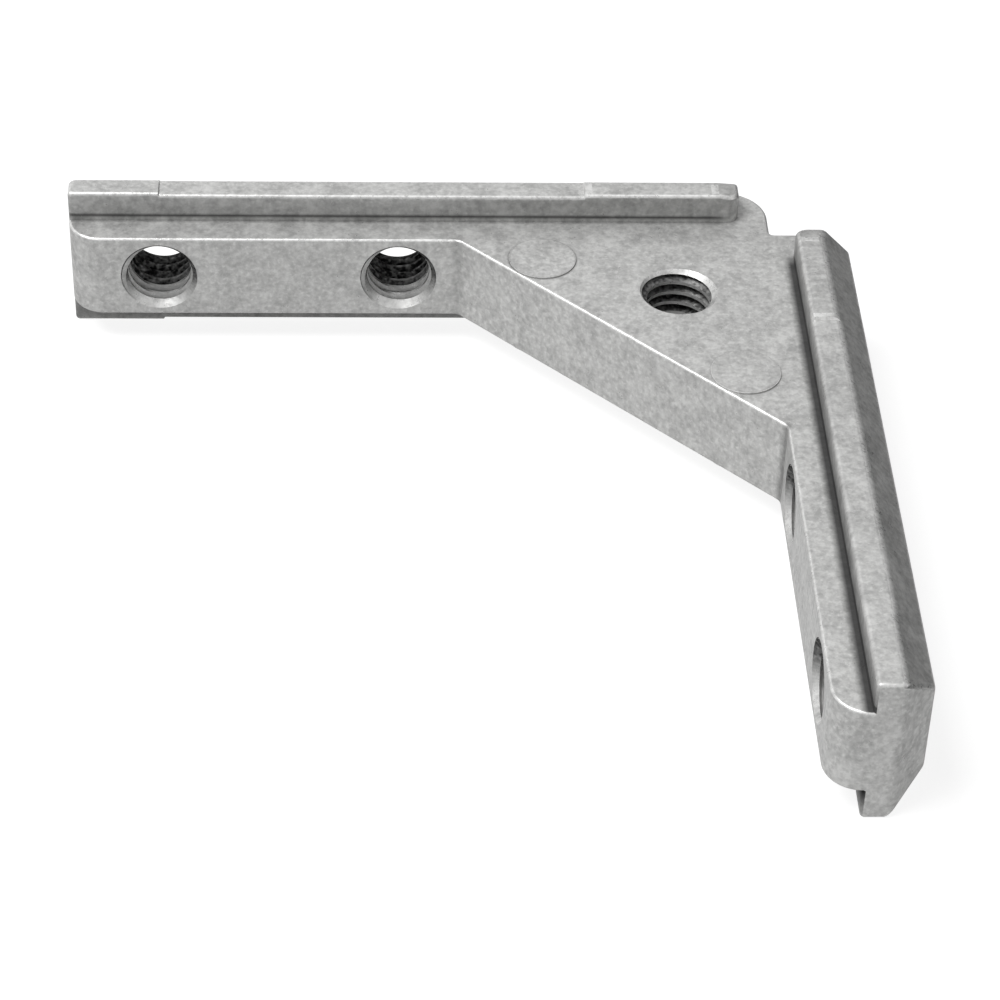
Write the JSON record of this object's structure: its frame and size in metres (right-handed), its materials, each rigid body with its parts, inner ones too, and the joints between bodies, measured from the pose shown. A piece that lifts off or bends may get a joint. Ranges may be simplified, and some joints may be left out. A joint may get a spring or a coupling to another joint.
{
  "type": "corner bracket",
  "caption": "Cast inner corner bracket: right-angle legs with slot-nut wings, a triangular web, and tapped holes for set screws.",
  "frame": {"origin": "the inner corner, where the two inner faces meet, on the middle plane of the web", "axes": "one leg runs along -X and the other along -Y, and +Z is square to the web; the inner faces look along -Y and -X"},
  "size_m": [0.052, 0.052, 0.0104],
  "materials": {
    "cast_metal": "tumbled zinc casting with a fine grain"
  },
  "bodies": {
    "root": {"bracket": "cast_metal"}
  },
  "joints": []
}
